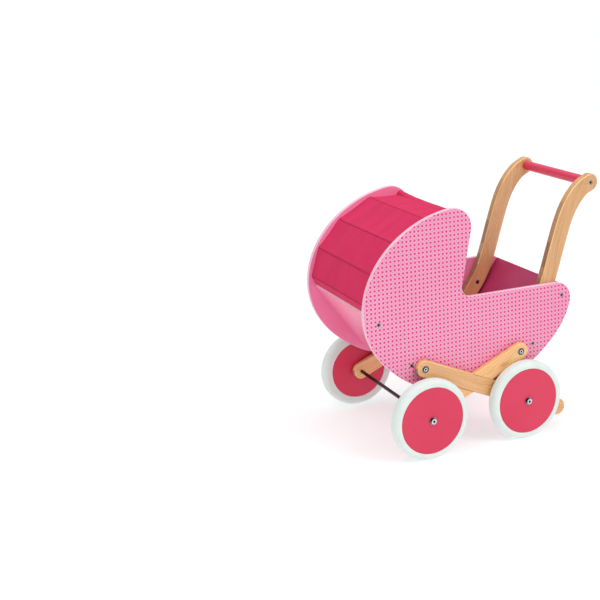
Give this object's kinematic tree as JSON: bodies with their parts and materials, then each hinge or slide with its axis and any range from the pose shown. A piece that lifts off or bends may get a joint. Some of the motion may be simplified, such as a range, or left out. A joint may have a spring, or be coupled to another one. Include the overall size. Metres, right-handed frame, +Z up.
{
  "type": "doll stroller",
  "caption": "Wooden doll pram with a fabric hood over rods, two curved push arms with a round handle, crossed chassis bars and free-running tyred wheels.",
  "frame": {"origin": "on the floor, at the middle of the bounding box, on the symmetry plane between the two sides", "axes": "+Z up; +X across the pram to its left side, along the axles; the hood end and the forward direction of travel are -Y, the handle is at +Y"},
  "size_m": [0.3456, 0.4998, 0.48],
  "materials": {
    "printed_panel": "painted pink with a fine printed dot pattern, satin",
    "painted_board": "painted plain pink, satin",
    "beech": "clear varnished beech, rounded edges",
    "painted_red": "painted raspberry, satin gloss",
    "plain_rod": "bare beech dowel",
    "tyre": "off-white soft rubber, matte",
    "nylon": "natural nylon",
    "fabric": "plain-woven cotton, raspberry",
    "steel": "zinc-plated steel"
  },
  "bodies": {
    "frame": {"arm_screws_left": "steel", "arm_screws_right": "steel", "axle_front": "steel", "axle_rear": "steel", "axle_screws_front": "steel", "axle_screws_rear": "steel", "axle_washers_inner": "steel", "axle_washers_outer": "steel", "chassis_bar_long_left": "beech", "chassis_bar_long_right": "beech", "chassis_bar_short_left": "beech", "chassis_bar_short_right": "beech", "chassis_bolts_left": "steel", "chassis_bolts_right": "steel", "chassis_spacers_left": "steel", "chassis_spacers_right": "steel", "floor_board": "painted_board", "front_board": "painted_board", "handle_arm_left": "beech", "handle_arm_right": "beech", "handle_bar": "painted_red", "handle_screws": "steel", "hood_fabric": "fabric", "hood_rod_1": "plain_rod", "hood_rod_2": "plain_rod", "hood_rod_3": "plain_rod", "hood_rod_4": "plain_rod", "hood_rod_5": "plain_rod", "panel_nuts_left": "steel", "panel_nuts_right": "steel", "panel_screws_left": "steel", "panel_screws_right": "steel", "rear_board": "painted_board", "side_panel_left": "printed_panel", "side_panel_right": "printed_panel"},
    "wheel_front_left": {"wheel_disc_front_left": "painted_red", "wheel_tyre_front_left": "tyre", "wheel_bushing_front_left": "nylon"},
    "wheel_front_right": {"wheel_disc_front_right": "painted_red", "wheel_tyre_front_right": "tyre", "wheel_bushing_front_right": "nylon"},
    "wheel_rear_left": {"wheel_disc_rear_left": "painted_red", "wheel_tyre_rear_left": "tyre", "wheel_bushing_rear_left": "nylon"},
    "wheel_rear_right": {"wheel_disc_rear_right": "painted_red", "wheel_tyre_rear_right": "tyre", "wheel_bushing_rear_right": "nylon"}
  },
  "joints": [
    {"name": "front_left_spin", "type": "hinge", "parent": "frame", "child": "wheel_front_left", "pos_m": [0.156, -0.13613, 0.075], "axis": [1, 0, 0], "continuous": true},
    {"name": "front_right_spin", "type": "hinge", "parent": "frame", "child": "wheel_front_right", "pos_m": [-0.156, -0.13613, 0.075], "axis": [1, 0, 0], "continuous": true},
    {"name": "rear_left_spin", "type": "hinge", "parent": "frame", "child": "wheel_rear_left", "pos_m": [0.156, 0.06547, 0.075], "axis": [1, 0, 0], "continuous": true},
    {"name": "rear_right_spin", "type": "hinge", "parent": "frame", "child": "wheel_rear_right", "pos_m": [-0.156, 0.06547, 0.075], "axis": [1, 0, 0], "continuous": true}
  ]
}
